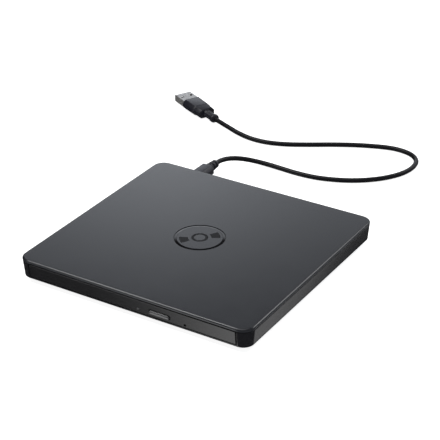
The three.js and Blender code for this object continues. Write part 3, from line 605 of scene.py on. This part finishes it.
def make_bezel():
    """The front panel with its button slot, lamp hole and emergency pin hole."""
    middle = (BEZEL_LOW + BEZEL_TOP) / 2
    height = BEZEL_TOP - BEZEL_LOW
    levels = [(0.25, -65.9, 0), (0, -66.1, 0), (0, BEZEL_FRONT + 0.42, 1), (0.04, BEZEL_FRONT + 0.24, 1),
              (0.12, BEZEL_FRONT + 0.1, 1), (0.24, BEZEL_FRONT + 0.02, 1), (0.4, BEZEL_FRONT, 1)]
    rings = []
    for inset, y, leans in levels:
        section = rounded(2 * (BEZEL_HALF - inset), height - 2 * inset, 0.5 - inset * 0.5, 4)
        rings.append([(u, y + leans * lean_at(middle + v), middle + v) for u, v in section])
    bezel = solid("bezel_panel", *loft(rings), BEZEL)

    def slot_tool(name, wide, high, radius, x, z):
        front = BEZEL_FRONT + lean_at(z)
        depths = [(-64, 0), (front + 0.22, 0), (front - 0.02, 0.26), (front - 1, 0.26)]
        return solid(name, *loft([
            along_y(rounded(wide + flare, high + flare, radius + flare / 2, 8), y, x, z)
            for y, flare in depths
        ]), BEZEL)

    carve(
        bezel,
        slot_tool("button_slot", BUTTON_W + 0.8, BUTTON_H + 0.8, 1.44, BUTTON_X, BUTTON_Z),
        slot_tool("lamp_hole", 1.7, 1.7, 0.84, LAMP_X, LAMP_Z),
        slot_tool("pin_hole", 1.3, 1.3, 0.64, PIN_X, PIN_Z),
    )
    flatten_normals(bezel)
    finish_piece(bezel, "tray", "bezel_plastic", "bezel")


def make_button():
    """The eject key, with a shallow scoop for the finger, and its stem."""
    profile = [  # inset and depth behind the face
        (0, 2.5), (0, 0.3), (0.05, 0.16), (0.14, 0.05), (0.28, 0), (0.5, 0.047), (0.98, 0.149),
    ]
    rings = [
        along_y(
            rounded(BUTTON_W - 2 * inset, BUTTON_H - 2 * inset, 1.04 - inset, 8),
            BUTTON_FACE + depth, BUTTON_X, BUTTON_Z,
        )
        for inset, depth in profile
    ]
    cap = solid("eject_key", *loft(rings), BUTTON)
    finish_piece(cap, "eject_button", "button_plastic", "eject_button")
    stem = [along_y(rounded(3.2, 1.6, 0.2, 2), y, BUTTON_X, BUTTON_Z) for y in (-66.35, -64.3, -64.1)]
    finish_piece(solid("eject_key_stem", *loft(stem), BUTTON), "eject_button", "button_plastic")


make_bezel()
make_button()

# ---------------------------------------------------------------- cord

CORD_RADIUS = 1.5
CORD_ROUTE = [
    (-48.5, 95.7, 6.5), (-48.2, 100.5, 6.2), (-46.6, 105.6, 5.6), (-43.3, 110.4, 4.7), (-38.2, 114.3, 3.6),
    (-31.6, 116.8, 2.6), (-24.4, 118, 1.9), (-15.5, 118, 1.55), (-4.8, 117.4, 1.5), (7.2, 118.1, 1.5),
    (17.9, 121, 1.5), (27.8, 125.5, 1.5), (36.7, 131.8, 1.5), (44.6, 140.2, 1.5), (50.2, 150.2, 1.5),
    (52.2, 160.6, 1.5), (50.1, 170.4, 1.5), (43.1, 177, 1.5), (32.6, 179, 1.5), (22.2, 176.9, 1.5),
    (8.4, 171.4, 1.5), (-5.2, 164.1, 1.5), (-17.8, 156.4, 1.5), (-29.6, 149.9, 1.5), (-41.4, 145.9, 1.5),
    (-52.8, 145.3, 1.6), (-63.6, 147.3, 2), (-73, 150.2, 2.8), (-80.2, 152.9, 3.2), (-86, 155.25, 3.4),
]
USB_A_AT, USB_A_TURN = (-86.3, 155.4, 3.4), math.radians(152.3)


def make_cord():
    """The lead's jacket as a smooth curve through its route, with the route's length."""
    points = [Vector(p) for p in CORD_ROUTE]
    data = bpy.data.curves.new("usb_lead", "CURVE")
    data.dimensions = "3D"
    data.bevel_depth = CORD_RADIUS * MM
    data.bevel_resolution = 6
    data.resolution_u = 8
    data.use_fill_caps = True
    spline = data.splines.new("BEZIER")
    spline.bezier_points.add(len(points) - 1)
    length = 0.0
    for i, point in enumerate(points):
        before, after = points[max(i - 1, 0)], points[min(i + 1, len(points) - 1)]
        tangent = (after - before) / 6
        if 0 < i < len(points) - 1:
            shortest = min((point - before).length, (after - point).length)
            tangent = (after - before).normalized() * shortest / 3
        knot = spline.bezier_points[i]
        knot.handle_left_type = knot.handle_right_type = "FREE"
        knot.co = point * MM
        knot.handle_left = (point - tangent) * MM
        knot.handle_right = (point + tangent) * MM
        if i:
            length += (point - points[i - 1]).length
    data.materials.append(CORD)
    cord = bpy.data.objects.new("usb_lead", data)
    bpy.context.scene.collection.objects.link(cord)
    finish_piece(cord, "cord", "cord_jacket", "usb_cable")
    return cord, length * MM


def chamfered(width, height, cut, soft=0.35):
    """An octagon of flat top and sides with softened corners, anticlockwise."""
    half_w, half_h = width / 2, height / 2
    corners = [
        (half_w, half_h - cut), (half_w - cut, half_h), (cut - half_w, half_h), (-half_w, half_h - cut),
        (-half_w, cut - half_h), (cut - half_w, -half_h), (half_w - cut, -half_h), (half_w, cut - half_h),
    ]
    points = []
    for i, corner in enumerate(corners):
        corner = Vector(corner)
        before, after = Vector(corners[i - 1]), Vector(corners[(i + 1) % 8])
        into = corner + (before - corner).normalized() * min(soft, (before - corner).length / 2)
        out = corner + (after - corner).normalized() * min(soft, (after - corner).length / 2)
        for t in (0, 0.5, 1):
            bend = into * (1 - t) ** 2 + corner * 2 * t * (1 - t) + out * t**2
            points.append((bend.x, bend.y))
    return points


def chamfered_body(name, sections, x, z, material):
    """A skin through chamfered sections of [y, width, height, cut]."""
    rings = [along_y(chamfered(w, h, cut), y, x, z) for y, w, h, cut in sections]
    return solid(name, *loft(rings), material)


def turned_boot(name, profile, x, z, material, flat=1.0):
    """Rings of [y, radius], with the height a part of the width."""
    sides = 32
    around = [2 * math.pi * i / sides for i in range(sides)]
    rings = [
        [(x + r * math.cos(a), y, z + r * flat * math.sin(a)) for a in around] for y, r in profile
    ]
    return solid(name, *loft(rings), material, sharp_angle=60)


def ribs(start, end, count, wide, narrow, depth):
    """A boot profile with soft rings standing out of a neck."""
    ring = [(0, 1), (0.14, 1), (0.22, 0.35), (0.34, 0), (0.72, 0), (0.86, 0.35), (0.95, 1)]
    profile = []
    pitch = (end - start) / count
    for k in range(count):
        outer = wide + (narrow - wide) * (k + 0.5) / count
        profile += [(start + (k + along) * pitch, outer - depth * sunk) for along, sunk in ring]
    return profile


def make_micro_plug():
    """The small plug's grip and boot, at the port."""
    body = chamfered_body("micro_plug_grip", [
        (69.2, 8.4, 5.9, 1.4), (69.35, 9.1, 6.5, 1.6), (69.8, 9.5, 6.9, 1.8), (70.8, 9.6, 7.0, 1.9),
        (84.2, 9.4, 6.9, 1.9), (85.2, 9.2, 6.7, 1.8), (85.8, 8.2, 6.2, 1.7), (86.0, 6.2, 5.4, 1.5),
    ], PORT_X, PORT_Z, PLUG)
    finish_piece(body, "cord", "plug_plastic", "micro_plug_body")
    profile = [(85.6, 2.2)] + ribs(85.9, 95.0, 3, 3.1, 2.5, 0.75) + [(95.1, 1.95), (95.4, 1.7)]
    boot = turned_boot("micro_plug_boot", profile, PORT_X, PORT_Z, PLUG)
    finish_piece(boot, "cord", "plug_plastic")
    return body, boot


def make_usb_a():
    """The large plug's grip, boot and contacts, made along Y and then turned to the lead's end."""
    to_plug = Matrix.Translation(Vector(USB_A_AT) * MM) @ Matrix.Rotation(USB_A_TURN - math.pi / 2, 4, "Z")
    body = chamfered_body("usb_a_grip", [
        (11.0, 5.6, 4.6, 1.3), (11.05, 9.4, 5.2, 1.5), (11.3, 11.2, 5.9, 1.8), (11.8, 12.0, 6.2, 2.0),
        (17.5, 12.5, 6.3, 2.05), (17.9, 12.7, 6.4, 2.1), (18.5, 13.4, 6.6, 2.2),
        (19.0, 13.6, 6.65, 2.2), (30.6, 14.0, 6.8, 2.2), (31.1, 13.8, 6.6, 2.1), (31.4, 13.3, 6.2, 1.9),
    ], 0, 0, PLUG)
    profile = [(0, 1.75), (0.25, 2.5), (0.6, 2.95), (1.1, 3.2), (2.7, 3.2), (3.1, 3.05), (3.35, 2.6)]
    profile += ribs(3.4, 8.8, 3, 2.75, 2.85, 0.3) + [(8.9, 2.7), (10.6, 2.9), (11.1, 3.0)]
    boot = turned_boot("usb_a_boot", profile, 0, 0, PLUG, flat=0.86)
    pieces = [body, boot]
    for i in range(4):
        x = -3.5 + i * 7 / 3
        depth = 41.6 if i in (0, 3) else 40.8
        rings = [
            [(x + sx * w, y, z) for sx, z in ((1, 0.02), (1, top), (-1, top), (-1, 0.02))]
            for y, w, top in ((27, 0.5, 0.14), (depth - 0.3, 0.5, 0.14), (depth, 0.4, 0.05))
        ]
        pieces.append(solid(f"usb_a_contact_{i + 1}", *loft(rings), GOLD))
    for piece in pieces:
        piece.data.transform(to_plug)
        slot = "plated_steel" if "contact" in piece.name else "plug_plastic"
        finish_piece(piece, "cord", slot)
    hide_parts("usb_a_body")
    return pieces


cord, cord_length = make_cord()
on_cord = [*make_micro_plug(), *make_usb_a()]
on_cord += [nodes[n] for n in ("micro_plug_shell", "usb_a_shell", "usb_a_tongue")]

# ---------------------------------------------------------------- ribbon and spring


def make_ribbon():
    """The flat cable: its lower run spreads out between case and tray, and the rest rides on the tray."""
    left, right, half = 36.0, 47.0, 0.075
    low, high, flat_from, bend = 4.05, 4.83, 53.6, -53.0

    def strip(name, path):
        rings = []
        for i, (y, z) in enumerate(path):
            y0, z0 = path[max(i - 1, 0)]
            y1, z1 = path[min(i + 1, len(path) - 1)]
            reach = math.hypot(y1 - y0, z1 - z0) / half
            dy, dz = -(z1 - z0) / reach, (y1 - y0) / reach
            corners = ((left, 1), (right, 1), (right, -1), (left, -1))
            rings.append([(x, y + side * dy, z + side * dz) for x, side in corners])
        return solid(name, *loft(rings), FILM)

    lower = [(57.6, 5.52), (55.9, 5.52), (55.3, 5.25), (55.1, 4.9), (54.9, 4.4), (54.5, 4.15)]
    lower += [(flat_from + (bend - flat_from) * i / 30, low) for i in range(31)]
    middle, radius = (low + high) / 2, (high - low) / 2
    upper = []
    for i in range(13):
        angle = -math.pi / 2 - math.pi * i / 12
        upper.append((bend + radius * math.cos(angle), middle + radius * math.sin(angle)))
    upper += [(-30, high), (-10, high), (8.5, high), (9.5, high + 0.04), (10.5, high + 0.1)]
    finish_piece(strip("ribbon_upper_run", upper), "tray", "flex_film")
    lower_run = strip("ribbon_lower_run", lower)
    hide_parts("ribbon_cable")
    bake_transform(lower_run)


def make_spring():
    """The eject spring, squeezed between the tray's stop and the plunger's flange."""
    centre_x, centre_z, coil, wire = 52.0, 6.4, 1.45, 0.22
    first, last, turns, steps, sides = 36.42, 41.58, 6, 24, 10
    count = turns * steps
    rise = (last - first) / (2 * math.pi * turns)
    rings = []
    for i in range(count + 1):
        angle = 2 * math.pi * i / steps
        outward = Vector((math.cos(angle), 0, math.sin(angle)))
        tangent = Vector((-coil * math.sin(angle), rise, coil * math.cos(angle))).normalized()
        across = tangent.cross(outward)
        middle = Vector((centre_x, first + (last - first) * i / count, centre_z)) + outward * coil
        rings.append([
            middle + (outward * math.cos(a) + across * math.sin(a)) * wire
            for a in (2 * math.pi * k / sides for k in range(sides))
        ])
    spring = solid("eject_spring_coil", *loft(rings), SPRING, sharp_angle=60)
    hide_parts("eject_spring")
    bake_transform(spring)


make_ribbon()
make_spring()

# ---------------------------------------------------------------- CAD nodes

FINISHES = {
    TRAY: ["tray", "deck_plate"],
    STEEL: ["drive_pan", "drive_lid", "tray_cover", "slide_rail_left", "slide_rail_right", "spindle_motor"],
    PALE: ["rail_guide_left", "rail_guide_right", "ribbon_socket", "latch_lever", "eject_plunger",
           "clamp_claw_1", "clamp_claw_2", "clamp_claw_3"],
    RUBBER: ["foot_front_left", "foot_front_right", "foot_rear_left", "foot_rear_right",
             "damper_1", "damper_2", "damper_3"],
    PAD: ["turntable_pad"],
    NICKEL: ["case_screw_front_left", "case_screw_front_right", "case_screw_rear_left",
             "case_screw_rear_right", "usb_port_shell", "solenoid_core", "turntable"],
    PLUG_SHELL: ["micro_plug_shell", "usb_a_shell"],
    SHAFT: ["guide_shaft_main", "guide_shaft_sub", "lead_screw"],
    CASTING: ["latch_solenoid", "traverse_frame", "feed_motor", "pickup_sled"],
    BOARD: ["usb_board", "switch_board", "tray_board"],
    CHIP: ["usb_port_tongue", "bridge_chip", "controller_chip", "lens_holder", "usb_a_tongue"],
    LENS: ["objective_lens"],
    LAMP: ["indicator_lens"],
    LABEL: ["underside_label"],
}


def dress(node, material):
    node.data.materials.clear()
    node.data.materials.append(material)
    clean(node.data, 30)
    flatten_normals(node)


for material, names in FINISHES.items():
    for name in names:
        dress(nodes[name], material)

# ---------------------------------------------------------------- stage

FLOOR_SIZE, FLOOR_GLOW = 40.0, 0.9  # metres and emission
AMBIENT = 0.04
# Azimuth and strength, from the left (-180 degrees) by the front (-90) and the right (0) to the rear (90).
WALL_CARDS = [
    (-180, 0.04), (-133, 0.05), (-130, 0.06), (-128.8, 0.15), (-127.2, 1.0), (-125, 2.2), (-120, 2.2),
    (-116, 0.04), (55, 0.04), (61, 0.4), (65, 0.48), (67.1, 0.86), (68.1, 0.5), (68.7, 0.1), (69.2, 0.02),
    (180, 0.04),
]
BACKDROP = [(-180, 0), (60, 0.6), (110, 0.9), (117, 1.14), (124, 2.22), (132, 1.1), (145, 0), (180, 0)]
# Elevation and strength.
BACKDROP_FADE = [(0, 0.75), (24, 1.0), (26.5, 0.86), (28.4, 0.55), (30, 0.23), (32.5, 0.0)]
BACKDROP_TINT = (0.945, 0.99, 1.06)


def make_floor():
    """A white table whose own glow leaves only a faint contact shadow."""
    floor = solid("floor", [(x, y, 0) for x, y in ((-1, -1), (1, -1), (1, 1), (-1, 1))], [(0, 1, 2, 3)], LID)
    floor.data.transform(Matrix.Scale(FLOOR_SIZE / MM, 4))
    floor.location.z = -0.00002
    surface = Surface("studio_floor", (0.80, 0.80, 0.80), 0.9, specular=0.0)
    surface.tint(surface.noise(900, 2), (0.82, 0.82, 0.82))
    surface.shader.inputs["Emission Color"].default_value = (1, 1, 1, 1)
    surface.shader.inputs["Emission Strength"].default_value = FLOOR_GLOW
    surface.material.cycles.emission_sampling = "NONE"
    floor.data.materials.clear()
    floor.data.materials.append(surface.material)
    floor.visible_glossy = False


def softbox(name, place, size, power):
    """A soft light of a size in metres and a power in watts, aimed at the part's middle."""
    data = bpy.data.lights.new(name, "AREA")
    data.shape = "RECTANGLE"
    data.size, data.size_y = size
    data.energy = power
    light = bpy.data.objects.new(name, data)
    direction = Vector((0, 0, 0.01)) - Vector(place)
    light.rotation_euler = direction.to_track_quat("-Z", "Y").to_euler()
    light.location = place
    bpy.context.scene.collection.objects.link(light)


def ramp(tree, source, stops, place):
    """A grey ramp through [position, value] stops, with place giving the position from 0 to 1."""
    made = tree.nodes.new("ShaderNodeValToRGB")
    elements = made.color_ramp.elements
    while len(elements) < len(stops):
        elements.new(0.5)
    for element, (at, value) in zip(elements, stops):
        element.position = place(at)
        element.color = (value, value, value, 1)
    tree.links.new(source, made.inputs["Fac"])
    return made.outputs["Color"]


def make_world():
    """A dark studio with a lit backdrop at the rear, and cards below the horizon for the walls to reflect."""
    world = bpy.data.worlds.new("studio")
    world.use_nodes = True
    tree = world.node_tree
    background = tree.nodes["Background"]
    place = tree.nodes.new("ShaderNodeTexCoord")
    around = tree.nodes.new("ShaderNodeTexGradient")
    around.gradient_type = "RADIAL"
    split = tree.nodes.new("ShaderNodeSeparateXYZ")
    tree.links.new(place.outputs["Generated"], around.inputs["Vector"])
    tree.links.new(place.outputs["Generated"], split.inputs["Vector"])

    def azimuth(degrees):
        return degrees / 360 + 0.5

    def height(degrees):
        return math.sin(math.radians(degrees))

    def blend(kind, factor, first, second):
        """A colour mix of two values, each an output, a number or a colour."""
        made = tree.nodes.new("ShaderNodeMix")
        made.data_type = "RGBA"
        made.blend_type = kind
        factor_socket, first_socket, second_socket, result = 0, 6, 7, 2
        for socket, value in ((factor_socket, factor), (first_socket, first), (second_socket, second)):
            if hasattr(value, "is_output"):
                tree.links.new(value, made.inputs[socket])
            elif socket == factor_socket:
                made.inputs[socket].default_value = value
            else:
                made.inputs[socket].default_value = (*value, 1)
        return made.outputs[result]

    cards = ramp(tree, around.outputs["Fac"], WALL_CARDS, azimuth)
    backdrop = ramp(tree, around.outputs["Fac"], BACKDROP, azimuth)
    fade = ramp(tree, split.outputs["Z"], BACKDROP_FADE, height)
    glow = blend("MULTIPLY", 1.0, backdrop, fade)
    glow = blend("MULTIPLY", 1.0, glow, BACKDROP_TINT)
    glow = blend("ADD", 1.0, glow, (AMBIENT,) * 3)
    above = tree.nodes.new("ShaderNodeMath")
    above.operation = "GREATER_THAN"
    above.inputs[1].default_value = 0.0
    tree.links.new(split.outputs["Z"], above.inputs[0])
    seen = blend("MIX", above.outputs[0], cards, glow)
    tree.links.new(seen, background.inputs["Color"])
    bpy.context.scene.world = world


make_floor()
make_world()
softbox("key_overhead", (-0.35, 0.0, 1.5), (1.5, 1.5), 9)
softbox("front_edge", (-0.7, -0.25, 1.3), (0.5, 0.5), 6)
softbox("right_edge", (0.43, 1.12, 1.06), (0.8, 0.5), 5)
bpy.context.scene.view_settings.view_transform = "Standard"
